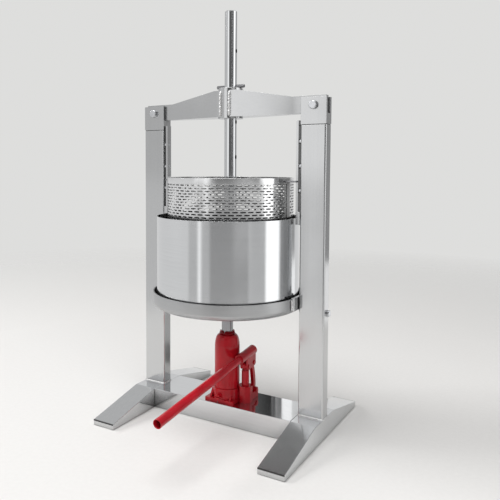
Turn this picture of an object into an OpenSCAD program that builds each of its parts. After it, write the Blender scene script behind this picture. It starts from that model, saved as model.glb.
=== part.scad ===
// Hydraulic fruit press. A bottle jack lifts a tray with a drum and a slotted
// basket, and the fruit is squeezed against a plate on a pinned rod that hangs
// from the crossbeam of a two-post frame.
// Millimetres, +Z up. The origin is on the floor, under the press rod.
// The front, where the jack handle points, is -Y.

/* [Frame] */
// Gap between the tray and an upright
side_gap = 6; // [5:0.5:12]
// Width of an upright, along the crossbeam
upright_w = 50; // [44:1:60]
// Depth of an upright, front to back
upright_d = 26; // [24:1:36]
// Wall of an upright tube
upright_wall = 2; // [1.5:0.5:3]
// Height of the frame, floor to the top of the head brackets
frame_h = 640; // [630:1:680]
// Height of a head bracket
head_h = 50; // [45:1:60]
// Wall of a head bracket
head_wall = 5.5; // [4:0.5:6]
// Depth of the slot that a beam end drops into
head_slot_h = 30; // [26:1:34]

/* [Base and feet] */
// Height of the base and of the flat middle of a foot
base_h = 40; // [36:1:46]
// Depth of the base channel, front to back
base_d = 95; // [90:1:110]
// Sheet thickness of the base and the feet
sheet = 2; // [1.5:0.5:3]
// Length of a foot, front to back
foot_len = 365; // [340:1:400]
// Height of a foot at its two ends
foot_tip_h = 11; // [10:1:16]
// Width of the stiffener under the base
stiffener_w = 60; // [40:1:76]

/* [Crossbeam] */
// Height of a beam arm at the sleeve
arm_h = 52; // [46:1:58]
// Depth of a beam arm at the sleeve
arm_d = 46; // [40:1:46]
// Height of the straight end of a beam arm
tongue_h = 33; // [32:1:38]
// Length of the straight end of a beam arm
tongue_len = 69; // [56:1:80]
// Outside diameter of the rod sleeve
sleeve_d = 50; // [47:1:58]
// Diameter of a beam bolt
beam_bolt_d = 10; // [8:1:12]

/* [Rod and plate] */
// Diameter of the press rod
rod_d = 25; // [22:0.5:28]
// Height of the rod above its sleeve
rod_above = 152.5; // [140:0.5:170]
// Distance between two pin holes in the rod
hole_pitch = 70; // [68:1:74]
// Diameter of the locking pin
pin_d = 7; // [6:0.5:8]
// Length of the locking pin
pin_len = 62; // [54:1:76]
// Depth of the press plate below the rim of the basket, with the rod down
plate_sink = 132; // [100:1:150]
// Gap between the press plate and the basket, all round
plate_clear = 5; // [2:0.5:12]
// Thickness of the press plate
plate_t = 8; // [6:1:12]
// Diameter of the hub on the press plate
hub_d = 50; // [44:1:60]

/* [Basket] */
// Outside diameter of the basket: the drum, the tray and the frame follow it
basket_d = 253; // [220:1:300]
// Height of the basket with its rim
basket_h = 254; // [244:1:260]
// Wall of the basket
basket_wall = 1.5; // [1:0.25:2]
// Height of the plain rim band
rim_h = 11; // [8:1:16]
// Number of rows of slots
slot_rows = 14; // [10:1:16]
// Number of slots in one row
slots_per_row = 26; // [20:2:30]
// Length of a slot
slot_len = 18; // [12:1:22]
// Height of a slot
slot_h = 5; // [3:0.5:6]
// Width of an ear at the rim
ear_w = 24; // [22:1:30]

/* [Drum and tray] */
// Room between the basket and the drum at the back, where they are closest
drum_clear = 6; // [4:0.5:20]
// Height of the drum
drum_h = 176; // [160:1:182]
// Wall of the drum
drum_wall = 1.2; // [1:0.1:2]
// Width of the tray's lip outside the drum
tray_lip = 7.5; // [6:0.5:16]
// Height of the tray
tray_h = 30; // [27:1:36]
// Wall of the tray
tray_wall = 2; // [1.5:0.5:3]
// Radius of the tray's lower edge
tray_round = 12; // [6:1:14]
// Length of the spout behind the tray
spout_len = 36; // [20:1:50]

/* [Guides and stops] */
// Depth of a guide bar's lower end below the rim of the basket
bar_below = 63; // [40:1:80]
// Width of a guide bar, front to back
bar_w = 13; // [11:1:14]
// Thickness of a guide bar
bar_t = 4.5; // [4:0.5:5.5]
// Gap between a guide bar and the drum
bar_clear = 4.5; // [4:0.5:5]
// Width of a tray guide, front to back
guide_w = 44; // [36:1:50]
// Diameter of a stop bolt
stop_d = 8; // [6:1:10]

/* [Jack] */
// Distance of the jack and the tray in front of the rod
jack_forward = 10; // [7:1:12]
// Height of the jack body, from its base to the top nut
jack_h = 140; // [136:1:150]
// Diameter of the oil tank
tank_d = 51; // [49:1:54]
// Diameter of the ram
ram_d = 23; // [20:0.5:25]
// Length of the ram that stands out of the jack
ram_out = 54; // [50:1:60]
// Distance of the pump from the jack axis, to the side
pump_x = 40; // [39:1:44]
// Outside diameter of the pump cylinder
pump_d = 15; // [13:0.5:16]
// Distance between the lever's two pivots
lever_arm = 22; // [20:1:24]
// Diameter of the lever pins
lever_pin_d = 6; // [5:0.5:7]

/* [Handle] */
// Outside diameter of the lever socket
socket_d = 19; // [18:0.5:21]
// Length of the lever socket
socket_len = 60; // [54:1:66]
// Slope of the handle towards its front end, in degrees
handle_tilt = 6; // [3:0.5:8]
// Diameter of the inner handle rod
handle_rod_d = 14; // [12:0.5:14.5]
// Length of the handle rod between the socket and the tube
handle_rod_show = 57; // [40:1:70]
// Outside diameter of the handle tube
handle_tube_d = 16.5; // [16:0.5:20]
// Length of the handle tube
handle_tube_len = 216; // [180:1:240]

/* [Hidden] */
$fn = 64;

// Finishes
polished = "gainsboro";
satin = "silver";
zinc = "lightsteelblue";
jack_red = "firebrick";
handle_red = "crimson";
black = "dimgray";

// Overrun of cuts, and clearances: fixed fit, pivot, and running gap
over = 1;
fit = 0.05;
pivot_fit = 0.08;
run_gap = 0.3;

// Round pieces, from the basket outwards, and the uprights beside them
jack_y = -jack_forward;
basket_r = basket_d / 2;
drum_r = basket_r + jack_forward + drum_clear;
tray_r = drum_r + tray_lip;

// Frame places
xi = tray_r + side_gap;
xo = xi + upright_w;
xm = (xi + xo) / 2;
post_top = frame_h - head_h;
seat_z = frame_h - head_slot_h;
bolt_z = seat_z + head_slot_h / 2;

// Foot outline: flat middle as deep as the base, then straight slopes
foot_half = foot_len / 2;
foot_flat = base_d / 2;
foot_slope = (base_h - foot_tip_h) / (foot_half - foot_flat);
foot_drop = sheet * sqrt(1 + foot_slope * foot_slope);
foot_knee = foot_flat - (foot_drop - sheet) / foot_slope;
end_plate_t = 3;
end_plate_gap = 1.5;
stiffener_t = 3;

// Crossbeam places
tongue_gap = run_gap;
tongue_d = upright_d - 2 * head_wall - 2 * tongue_gap;
tongue_inset = 4;
sleeve_under = 3;
sleeve_proud = 5.5;
sleeve_z0 = seat_z - sleeve_under;
sleeve_z1 = seat_z + arm_h + sleeve_proud;
bolt_head_d = 15;
bolt_head_h = 7;
bolt_chamfer = 1;
washer_d = 20;
washer_t = 2;
nut_d = 18;
nut_t = 8;
bolt_tail = 4;

// Height of everything that the jack carries
ram_top = base_h + jack_h + ram_out;
tray_z = ram_top + run_gap;
floor_z = tray_z + tray_wall;
basket_top = floor_z + basket_h;
shell_top = basket_top - rim_h;

// Rod places: the rod hangs on the pin, and the pin lies on the sleeve
rod_r = rod_d / 2;
rod_top = sleeve_z1 + rod_above;
rod_low = basket_top - plate_sink;
rod_chamfer = 1.5;
plate_r = basket_r - basket_wall - plate_clear;
pin_z = sleeve_z1 + run_gap + pin_d / 2;
hole_r = pin_d / 2 + run_gap;
hole_steps = [-2, -1, 0, 1];
plate_chamfer = 3;
hub_h = 25;
screw_d = 10;
screw_head_d = 20;
screw_head_h = 6;
screw_bite = 26;
bite_gap = 1;
pin_chamfer = 0.8;

// Basket places
rim_proud = 1;
strip_t = 1.2;
strip_w = 14;
basket_floor_t = 3;
floor_lift = 10;
rib_w = 6;
drain_d = 8;
drain_rings = 3;
slot_low = 3;
slot_clear_top = 12;
slot_field = shell_top - floor_z - slot_low - slot_clear_top - slot_h;
slot_rise = slot_field / (slot_rows - 1);
ear_t = 3;
ear_drop = 5;
ear_reach = 3;
ear_clear = 1;

// Drum and tray places: the drum stands on the curve of the tray's lower edge
tray_in_round = tray_round - tray_wall;
drum_onto = max(0, drum_r - (tray_r - tray_round));
drum_rise = tray_in_round - sqrt(tray_in_round * tray_in_round - drum_onto * drum_onto);
drum_low = floor_z + drum_rise + run_gap;
spout_r = 13;
spout_bore_r = 11;
spout_collar = 8;
port_w = 60;
port_h = 16;
spout_cheek = 1;
spout_throat = 0.5;
guide_lift = 8;
guide_proud = 3;
stop_head_d = 12;
stop_head_h = 5;
stop_reach = 5;
stop_y_share = 0.2;
stop_y = upright_d * stop_y_share;
stop_z = tray_z + guide_lift - run_gap - stop_d / 2;

// Guide bar places
bar_x0 = drum_r + bar_clear;
bar_x1 = bar_x0 + bar_t;
bar_y = -5;
bar_top_gap = 12;
bar_top = seat_z - bar_top_gap;
bar_low = basket_top - bar_below;
bar_len = bar_top - bar_low;
bar_block_h = 25;
bar_block_w = 14;
bar_screw_d = 5;
bar_screw_head_d = 6.4;
bar_screw_head_h = 2.5;
bar_spacer_d = 9;
bar_screw_tail = 3;
bar_screw_shares = [0.23, 0.5, 0.77];
ear_notch_w = bar_w + 2 * ear_clear;

// Jack body, in heights above the base channel
flange_t = 6;
flange_left = 34;
flange_right = 30;
flange_front = 30;
flange_back = 32;
flange_round = 4;
tank_r = tank_d / 2;
tank_wall = 2.5;
tank_foot = 20;
cylinder_foot = 8;
tank_dome = 12;
nut_flange_h = 3;
nut_body_h = 4;
tank_top = jack_h - nut_flange_h - nut_body_h;
tank_shoulder = tank_top - tank_dome;
boss_wall = 3;
boss_h = 26;
nut_flange_r = 16;
nut_body_r = 15;
nut_stem_r = 14;
nut_stem_h = 5;
nut_notch = 5;
ram_r = ram_d / 2;
cylinder_wall = 4;
cylinder_step = 0.5;
cylinder_r = ram_r + cylinder_step;
cylinder_out = cylinder_r + cylinder_wall;
piston_h = 8;
piston_low = cylinder_foot + ram_out;
seal_h = 3;
seal_depth = 1.5;
saddle_h = 6;
saddle_groove = 2;
saddle_stem_r = 6;
saddle_stem_h = 10;
plug_r = 4;
plug_head_r = 5.5;
plug_head_h = 2.5;
plug_below_top = 20;

// Release valve, in the front of the jack base
valve_x = -3;
valve_z = 12;
valve_boss_r = 8;
valve_r = 4;
valve_head_r = 5.5;
valve_head_h = 6;
valve_len = 11;
valve_end = valve_len - flange_front;
valve_slot = 2;
rib_xs = [-24, 20];
rib_t = 4;

// Pump, links and lever, in heights above the base channel
pump_y = 4;
pump_r = pump_d / 2;
pump_block_r = 13.5;
pump_block_h = 33;
pump_floor = 8;
pump_top = 64;
plunger_r = 5;
plunger_low = 24;
eye_r = 6.5;
eye_w = 10;
plunger_pin_z = 72;
link_y = pump_y + lever_arm;
link_back = 12;
link_low_y = link_y + link_back;
link_low_z = 13;
link_top_z = 75;
link_rise = link_top_z - link_low_z;
link_len = sqrt(link_rise * link_rise + link_back * link_back);
link_lean = atan(link_back / link_rise);
link_w = 9;
link_t = 7;
link_half = link_t / 2;
link_room = 1.5;
link_bow_r = 120;
link_end_r = 6;
lug_t = 3;
lug_in = eye_w / 2 + run_gap + 2 * fit;
lug_out = lug_in + lug_t;
lug_r = 7;
link_slot = link_half + run_gap;
foot_lug_w = 2 * lug_out;
foot_lug_r = 7;
web_w = 18;
web_h = 18;
lever_pin_r = lever_pin_d / 2;
pin_head_proud = 1.5;
pin_head_r = lever_pin_r + pin_head_proud;
pin_head_h = 1.5;
slack = 0.8;
lever_y = 6.5;
lever_z = 94.5;
socket_r = socket_d / 2;
handle_rod_r = handle_rod_d / 2;
handle_tube_r = handle_tube_d / 2;
handle_seat = 20;
handle_joint = 45;
tube_round = 0.6;
tube_in = socket_len / 2 + handle_rod_show;

// Block between two opposite corners
module block(low, high) {
  translate(low) cube(high - low);
}

// Round bar along X
module bar_along_x(r, x0, x1, y, z) {
  translate([x0, y, z]) rotate([0, 90, 0]) cylinder(r = r, h = x1 - x0);
}

// Round bar along Y
module bar_along_y(r, y0, y1, x, z) {
  translate([x, y0, z]) rotate([-90, 0, 0]) cylinder(r = r, h = y1 - y0);
}

// Round bar along Z
module bar_along_z(r, z0, z1, x = 0, y = 0) {
  translate([x, y, z0]) cylinder(r = r, h = z1 - z0);
}

// Upright tube along Z
module ring(r_out, r_in, z0, z1) {
  difference() {
    bar_along_z(r_out, z0, z1);
    bar_along_z(r_in, z0 - over, z1 + over);
  }
}

// Turned piece: an outline in radius and height, spun about Z
module turned(outline) {
  rotate_extrude() polygon(outline);
}

// Outline in Y and Z, pushed out along X from x0 to x1
module side_plate(points, x0, x1) {
  translate([x0, 0, 0]) rotate([90, 0, 90]) linear_extrude(x1 - x0) polygon(points);
}

// The same form on both sides of the press
module both_sides() {
  children();
  mirror([1, 0, 0]) children();
}

// The jack's own place: its axis, on top of the base channel
module at_jack() {
  translate([0, jack_y, base_h]) children();
}

// The handle's own axis: forward and a little down
module at_lever() {
  at_jack() translate([pump_x, lever_y, lever_z]) rotate([handle_tilt, 0, 0]) children();
}

// Base: a folded channel, open below, between the two feet
module base_channel() {
  color(satin) difference() {
    block([-xi, -base_d / 2, 0], [xi, base_d / 2, base_h]);
    block([-xi - over, -base_d / 2 + sheet, -over], [xi + over, base_d / 2 - sheet, base_h - sheet]);
  }
}

// Trough under the base that carries the jack's push to the floor
module base_stiffener() {
  half = stiffener_w / 2;
  top = base_h - sheet;
  color(satin) difference() {
    block([-xi, -half, 0], [xi, half, top]);
    block([-xi - over, -half + stiffener_t, stiffener_t], [xi + over, half - stiffener_t, top + over]);
  }
}

// Foot: folded sheet with sloping ends, open below
module foot_form() {
  reach = foot_half + over;
  inner_tip = foot_tip_h - foot_drop - foot_slope * over;
  difference() {
    side_plate([
      [-foot_half, 0], [-foot_half, foot_tip_h], [-foot_flat, base_h],
      [foot_flat, base_h], [foot_half, foot_tip_h], [foot_half, 0]
    ], xi, xo);
    side_plate([
      [-reach, -over], [-reach, inner_tip], [-foot_knee, base_h - sheet],
      [foot_knee, base_h - sheet], [reach, inner_tip], [reach, -over]
    ], xi + sheet, xo - sheet);
  }
}

module left_foot() {
  color(polished) mirror([1, 0, 0]) foot_form();
}

module right_foot() {
  color(polished) foot_form();
}

// Inset plates that close the ends of the feet, with a gap along the top
module foot_end_plates() {
  top = foot_tip_h - foot_drop - end_plate_gap;
  color(satin) both_sides() for (end = [0, 1]) mirror([0, end, 0])
    block(
      [xi + sheet + end_plate_gap, foot_half - end_plate_t, 0],
      [xo - sheet, foot_half, top]
    );
}

// Upright: rectangular tube with the holes for the stop bolt and the guide bar
module upright_form() {
  half = upright_d / 2;
  difference() {
    block([xi, -half, base_h], [xo, half, post_top]);
    block(
      [xi + upright_wall, -half + upright_wall, base_h - over],
      [xo - upright_wall, half - upright_wall, post_top + over]
    );
    bar_along_x(stop_d / 2 + fit, xi - over, xo + over, stop_y, stop_z);
    at_bar_screws() bar_along_x(bar_screw_d / 2 + fit, xi - over, xi + upright_wall + over, 0, 0);
  }
}

module left_upright() {
  color(satin) mirror([1, 0, 0]) upright_form();
}

module right_upright() {
  color(satin) upright_form();
}

// Head bracket: short box with a slot from the top for the beam end
module head_form() {
  half = upright_d / 2;
  gap = half - head_wall;
  difference() {
    block([xi, -half, post_top], [xo, half, frame_h]);
    block([xi + head_wall, -gap, post_top - over], [xo - head_wall, gap, frame_h + over]);
    block([xi - over, -gap, seat_z], [xo + over, gap, frame_h + over]);
    bar_along_y(beam_bolt_d / 2 + fit, -half - over, half + over, xm, bolt_z);
  }
}

module left_head_bracket() {
  color(satin) mirror([1, 0, 0]) head_form();
}

module right_head_bracket() {
  color(satin) head_form();
}

// Beam arm: straight end in the bracket, then wider and taller to the sleeve
module arm_form() {
  tip = xo - tongue_inset;
  knee = xo - tongue_len;
  root = sleeve_d / 2;
  difference() {
    intersection() {
      rotate([90, 0, 0]) linear_extrude(arm_d, center = true) polygon([
        [0, seat_z], [tip, seat_z], [tip, seat_z + tongue_h],
        [knee, seat_z + tongue_h], [root, seat_z + arm_h], [0, seat_z + arm_h]
      ]);
      translate([0, 0, seat_z]) linear_extrude(arm_h) polygon([
        [0, -arm_d / 2], [root, -arm_d / 2], [knee, -tongue_d / 2], [tip, -tongue_d / 2],
        [tip, tongue_d / 2], [knee, tongue_d / 2], [root, arm_d / 2], [0, arm_d / 2]
      ]);
    }
    bar_along_z(sleeve_d / 2, sleeve_z0 - over, sleeve_z1 + over);
    bar_along_y(beam_bolt_d / 2 + fit, -arm_d, arm_d, xm, bolt_z);
  }
}

module left_beam_arm() {
  color(satin) mirror([1, 0, 0]) arm_form();
}

module right_beam_arm() {
  color(satin) arm_form();
}

// Sleeve that the press rod slides in
module rod_sleeve() {
  color(satin) ring(sleeve_d / 2, rod_r + run_gap, sleeve_z0, sleeve_z1);
}

// Bolts through the head brackets and the beam ends
module beam_bolts() {
  shank_r = beam_bolt_d / 2;
  head_r = bolt_head_d / 2;
  grip = upright_d + washer_t + nut_t + bolt_tail;
  color(zinc) both_sides()
    translate([xm, -upright_d / 2, bolt_z]) rotate([-90, 0, 0]) turned([
      [0, -bolt_head_h], [head_r - bolt_chamfer, -bolt_head_h], [head_r, bolt_chamfer - bolt_head_h],
      [head_r, 0], [shank_r, 0], [shank_r, grip], [0, grip]
    ]);
}

module beam_washers() {
  back = upright_d / 2;
  color(zinc) both_sides() difference() {
    bar_along_y(washer_d / 2, back, back + washer_t, xm, bolt_z);
    bar_along_y(beam_bolt_d / 2 + fit, back - over, back + washer_t + over, xm, bolt_z);
  }
}

module beam_nuts() {
  face = upright_d / 2 + washer_t;
  color(zinc) both_sides() difference() {
    translate([xm, face, bolt_z]) rotate([-90, 0, 0]) cylinder(d = nut_d, h = nut_t, $fn = 6);
    bar_along_y(beam_bolt_d / 2 + fit, face - over, face + nut_t + over, xm, bolt_z);
  }
}

// Places of the guide bar screws on the right-hand bar
module at_bar_screws() {
  for (share = bar_screw_shares)
    translate([0, bar_y, bar_low + bar_len * share]) children();
}

// Guide bar that the basket's ear rides on, with countersunk screw holes
module bar_form() {
  difference() {
    block([bar_x0, bar_y - bar_w / 2, bar_low], [bar_x1, bar_y + bar_w / 2, bar_top]);
    at_bar_screws() {
      bar_along_x(bar_screw_d / 2 + fit, bar_x0 - over, bar_x1 + over, 0, 0);
      bar_along_x(bar_screw_head_d / 2 + fit, bar_x0 - over, bar_x0 + bar_screw_head_h, 0, 0);
    }
  }
}

module left_guide_bar() {
  color(polished) mirror([1, 0, 0]) bar_form();
}

module right_guide_bar() {
  color(polished) bar_form();
}

// Blocks that carry the lower ends of the guide bars
module guide_bar_blocks() {
  color(satin) both_sides()
    block(
      [bar_x0, bar_y - bar_block_w / 2, bar_low - bar_block_h],
      [xi, bar_y + bar_block_w / 2, bar_low]
    );
}

module guide_bar_spacers() {
  color(zinc) both_sides() at_bar_screws() difference() {
    bar_along_x(bar_spacer_d / 2, bar_x1, xi, 0, 0);
    bar_along_x(bar_screw_d / 2 + fit, bar_x1 - over, xi + over, 0, 0);
  }
}

module guide_bar_screws() {
  color(black) both_sides() at_bar_screws() {
    bar_along_x(bar_screw_head_d / 2, bar_x0, bar_x0 + bar_screw_head_h, 0, 0);
    bar_along_x(bar_screw_d / 2, bar_x0, xi + upright_wall + bar_screw_tail, 0, 0);
  }
}

// Bolts through the uprights that the tray rests on when it is down
module tray_stop_bolts() {
  color(zinc) both_sides() {
    bar_along_x(stop_d / 2, xi - stop_reach, xo + stop_head_h, stop_y, stop_z);
    bar_along_x(stop_head_d / 2, xo, xo + stop_head_h, stop_y, stop_z);
  }
}

// Press rod with its row of pin holes
module press_rod() {
  color(polished) difference() {
    turned([
      [0, rod_low], [rod_r, rod_low], [rod_r, rod_top - rod_chamfer],
      [rod_r - rod_chamfer, rod_top], [0, rod_top]
    ]);
    for (step = hole_steps)
      bar_along_x(hole_r, -rod_d, rod_d, 0, pin_z - run_gap + step * hole_pitch);
    bar_along_z(screw_d / 2 + fit, rod_low - over, rod_low + screw_bite);
  }
}

module press_plate() {
  under = rod_low - plate_t;
  color(satin) difference() {
    turned([
      [0, under], [plate_r - plate_chamfer, under], [plate_r, under + plate_chamfer],
      [plate_r, rod_low], [0, rod_low]
    ]);
    bar_along_z(screw_d / 2 + fit, under - over, rod_low + over);
  }
}

module plate_hub() {
  color(satin) ring(hub_d / 2, rod_r + fit, rod_low, rod_low + hub_h);
}

// Screw that holds the plate on the rod, from below
module plate_screw() {
  under = rod_low - plate_t;
  tip = rod_low + screw_bite - bite_gap;
  r = screw_d / 2;
  head_r = screw_head_d / 2;
  color(zinc) turned([
    [0, under - screw_head_h], [head_r - screw_head_h / 2, under - screw_head_h],
    [head_r, under], [r, under], [r, tip], [0, tip]
  ]);
}

// Plain pin through the rod, with chamfered ends
module locking_pin() {
  r = pin_d / 2;
  half = pin_len / 2;
  color(zinc) translate([0, 0, pin_z]) rotate([0, 90, 0]) turned([
    [0, -half], [r - pin_chamfer, -half], [r, pin_chamfer - half],
    [r, half - pin_chamfer], [r - pin_chamfer, half], [0, half]
  ]);
}

// Half section of a dish with a round lower edge, filled
module dish_section(r, h, round_r) {
  square([r - round_r, h]);
  translate([0, round_r]) square([r, h - round_r]);
  translate([r - round_r, round_r]) circle(round_r);
}

// The tray's outer form, filled
module tray_outside() {
  translate([0, jack_y, tray_z]) rotate_extrude() dish_section(tray_r, tray_h, tray_round);
}

// The juice's way out through the tray wall: round below and open at the top
module spout_way(y0, y1) {
  z = floor_z + spout_bore_r;
  half = spout_bore_r - spout_throat;
  bar_along_y(spout_bore_r, y0, y1, 0, z);
  block([-half, y0, z], [half, y1, tray_z + tray_h + over]);
}

// Round tray with a gap in its wall for the spout at the back
module juice_tray() {
  color(satin) difference() {
    tray_outside();
    translate([0, jack_y, floor_z]) rotate_extrude()
      dish_section(tray_r - tray_wall, tray_h, tray_in_round);
    spout_way(jack_y, jack_y + tray_r + over);
  }
}

// Open spout: two cheeks on the tray wall, then the lower half of a pipe
module tray_spout() {
  z = floor_z + spout_bore_r;
  tip = jack_y + tray_r + spout_len;
  lip = jack_y + tray_r + spout_collar;
  cheek = spout_r + spout_cheek;
  color(satin) difference() {
    union() {
      bar_along_y(spout_r, jack_y, tip, 0, z);
      block([-cheek, jack_y, z], [cheek, lip, tray_z + tray_h]);
    }
    spout_way(jack_y - over, tip + over);
    block([-cheek - over, lip, z], [cheek + over, tip + over, z + spout_r + over]);
    tray_outside();
  }
}

// Guide on the side of the tray: runs on the upright and sits on the stop bolt
module tray_guide_form() {
  difference() {
    block(
      [0, jack_y - guide_w / 2, tray_z + guide_lift],
      [xi - run_gap, jack_y + guide_w / 2, tray_z + tray_h + guide_proud]
    );
    bar_along_z(tray_r + run_gap, tray_z, tray_z + tray_h + guide_proud + over, 0, jack_y, $fn = 256);
  }
}

module left_tray_guide() {
  color(satin) mirror([1, 0, 0]) tray_guide_form();
}

module right_tray_guide() {
  color(satin) tray_guide_form();
}

// Plain drum that keeps the juice in, with a port to the spout at its foot
module splash_drum() {
  color(polished) translate([0, jack_y, 0]) difference() {
    ring(drum_r, drum_r - drum_wall, drum_low, drum_low + drum_h);
    block([-port_w / 2, 0, drum_low - over], [port_w / 2, drum_r + over, drum_low + port_h]);
  }
}

// Staggered rows of slots, left out where the seam strips lie
module basket_slots() {
  step = 360 / slots_per_row;
  bare = asin((strip_w + slot_len) / 2 / basket_r);
  for (row = [0 : slot_rows - 1]) for (i = [0 : slots_per_row - 1]) {
    turn = (i + (row % 2) / 2) * step;
    z = floor_z + slot_low + row * slot_rise;
    if (abs(sin(turn)) > sin(bare)) rotate([0, 0, turn])
      block(
        [basket_r - basket_wall - over, -slot_len / 2, z],
        [basket_r + over, slot_len / 2, z + slot_h]
      );
  }
}

module basket_shell() {
  color(satin) difference() {
    ring(basket_r, basket_r - basket_wall, floor_z, shell_top);
    basket_slots();
  }
}

module basket_rim() {
  color(polished) ring(basket_r + rim_proud, basket_r - basket_wall, shell_top, basket_top);
}

// Loose floor of the basket: a drilled disc on crossed ribs, above the lowest slots
module basket_floor() {
  r = basket_r - basket_wall - run_gap;
  low = floor_z + floor_lift;
  turn = 360 / 16;
  color(satin) difference() {
    union() {
      bar_along_z(r, low, low + basket_floor_t);
      intersection() {
        bar_along_z(r, floor_z, low + basket_floor_t);
        for (side = [45, 135]) rotate([0, 0, side])
          block([-r, -rib_w / 2, floor_z], [r, rib_w / 2, low + basket_floor_t]);
      }
    }
    for (k = [1 : drain_rings]) for (i = [0 : 6 * k - 1])
      rotate([0, 0, 60 * i / k + turn])
        bar_along_z(drain_d / 2, low - over, low + basket_floor_t + over, r * k / (drain_rings + 1));
  }
}

// Forked ears at the rim that ride on the guide bars
module basket_ears() {
  low = basket_top - ear_drop - ear_t;
  notch = ear_notch_w / 2;
  color(polished) both_sides() difference() {
    block([0, bar_y - ear_w / 2, low], [bar_x0 + ear_reach, bar_y + ear_w / 2, low + ear_t]);
    block([bar_x0 - ear_clear, bar_y - notch, low - over], [xi, bar_y + notch, low + ear_t + over]);
    bar_along_z(basket_r + rim_proud, low - over, low + ear_t + over);
  }
}

module basket_seam_strips() {
  color(satin) both_sides() intersection() {
    ring(basket_r + strip_t, basket_r, floor_z, shell_top);
    block([0, -strip_w / 2, floor_z], [basket_d, strip_w / 2, shell_top]);
  }
}

// Upright rib on the jack's base, sloping up to the tank's foot ring
module base_rib(x) {
  side_plate([
    [-flange_front + flange_round, flange_t], [-flange_front / 2, boss_h - flange_round], [0, flange_t]
  ], x - rib_t / 2, x + rib_t / 2);
}

// Cast base: flange, tank foot ring, pump block, link lug and valve boss
module jack_base() {
  ring_r = tank_r + boss_wall;
  color(jack_red) at_jack() difference() {
    union() {
      block([-flange_left, -flange_front, 0], [flange_right, flange_back, flange_t]);
      bar_along_z(ring_r, 0, boss_h);
      block([0, pump_y - web_w / 2, 0], [pump_x, pump_y + web_w / 2, web_h]);
      translate([pump_x, pump_y, 0]) rotate([0, 0, 180 / 8])
        cylinder(r = pump_block_r / cos(180 / 8), h = pump_block_h, $fn = 8);
      block(
        [pump_x - foot_lug_w / 2, pump_y, 0],
        [pump_x + foot_lug_w / 2, link_low_y + foot_lug_r, link_low_z]
      );
      bar_along_x(foot_lug_r, pump_x - foot_lug_w / 2, pump_x + foot_lug_w / 2, link_low_y, link_low_z);
      bar_along_y(valve_boss_r, -flange_front, 0, valve_x, valve_z);
      block([valve_x - valve_boss_r, -flange_front, 0], [valve_x + valve_boss_r, 0, valve_z]);
      for (x = rib_xs) base_rib(x);
    }
    bar_along_z(tank_r + fit, tank_foot, boss_h + over);
    bar_along_z(cylinder_out + fit, cylinder_foot, boss_h);
    bar_along_z(pump_r + fit, pump_floor, pump_block_h + over, pump_x, pump_y);
    bar_along_y(valve_r + pivot_fit, -flange_front - over, valve_end + over, valve_x, valve_z);
    bar_along_x(lever_pin_r + fit, pump_x - foot_lug_w, pump_x + foot_lug_w, link_low_y, link_low_z);
    block(
      [pump_x - link_slot, link_low_y - link_end_r - link_room, link_low_z - link_end_r - link_room],
      [pump_x + link_slot, link_low_y + foot_lug_r + over, link_low_z + foot_lug_r + over]
    );
  }
}

// Oil tank: a tube with a domed shoulder
module jack_tank() {
  color(jack_red) at_jack() difference() {
    translate([0, 0, tank_top]) mirror([0, 0, 1]) rotate_extrude()
      dish_section(tank_r, tank_top - tank_foot, tank_dome);
    translate([0, 0, tank_top - tank_wall]) mirror([0, 0, 1]) rotate_extrude()
      dish_section(tank_r - tank_wall, tank_top - tank_foot, tank_dome - tank_wall);
    bar_along_z(nut_stem_r + fit, tank_top - 2 * tank_wall, tank_top + over);
    bar_along_y(plug_r + fit, 0, tank_d, 0, tank_top - plug_below_top);
  }
}

// Top nut with four key notches, screwed in round the ram
module jack_top_nut() {
  stem_low = tank_top - nut_stem_h;
  step_z = tank_top + nut_flange_h;
  color(jack_red) at_jack() difference() {
    turned([
      [0, stem_low], [nut_stem_r, stem_low], [nut_stem_r, tank_top], [nut_flange_r, tank_top],
      [nut_flange_r, step_z], [nut_body_r, step_z], [nut_body_r, jack_h], [0, jack_h]
    ]);
    bar_along_z(ram_r + pivot_fit, stem_low - over, jack_h + over);
    for (turn = [0, 90, 180, 270]) rotate([0, 0, turn])
      block(
        [ram_r, -nut_notch / 2, step_z],
        [nut_flange_r, nut_notch / 2, jack_h + over]
      );
  }
}

// Pressure cylinder inside the tank
module jack_cylinder() {
  color(satin) at_jack() ring(cylinder_out, cylinder_r, cylinder_foot, tank_top - nut_stem_h);
}

// Ram with its piston, grooved for the seal and drilled for the saddle
module jack_ram() {
  seal_low = piston_low + (piston_h - seal_h) / 2;
  color(polished) at_jack() difference() {
    union() {
      bar_along_z(ram_r, piston_low, jack_h + ram_out - saddle_h);
      bar_along_z(cylinder_r - pivot_fit, piston_low, piston_low + piston_h);
    }
    ring(cylinder_r + over, ram_r - seal_depth, seal_low, seal_low + seal_h);
    bar_along_z(saddle_stem_r + fit, jack_h + ram_out - saddle_h - saddle_stem_h, jack_h + ram_out);
  }
}

module ram_seal() {
  seal_low = piston_low + (piston_h - seal_h) / 2;
  color(black) at_jack()
    ring(cylinder_r - pivot_fit, ram_r - seal_depth + fit, seal_low + fit, seal_low + seal_h - fit);
}

// Grooved saddle on top of the ram, under the tray
module jack_saddle() {
  top = jack_h + ram_out;
  color(polished) at_jack() difference() {
    union() {
      bar_along_z(ram_r, top - saddle_h, top);
      bar_along_z(saddle_stem_r, top - saddle_h - saddle_stem_h + bite_gap, top);
    }
    for (turn = [0, 90]) rotate([0, 0, turn])
      block([-ram_d, -saddle_groove / 2, top - saddle_groove], [ram_d, saddle_groove / 2, top + over]);
  }
}

// Oil filler plug at the back of the tank
module filler_plug() {
  z = tank_top - plug_below_top;
  color(black) at_jack() {
    bar_along_y(plug_r, tank_r - tank_wall, tank_r + plug_head_h, 0, z);
    bar_along_y(plug_head_r, tank_r, tank_r + plug_head_h, 0, z);
  }
}

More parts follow.
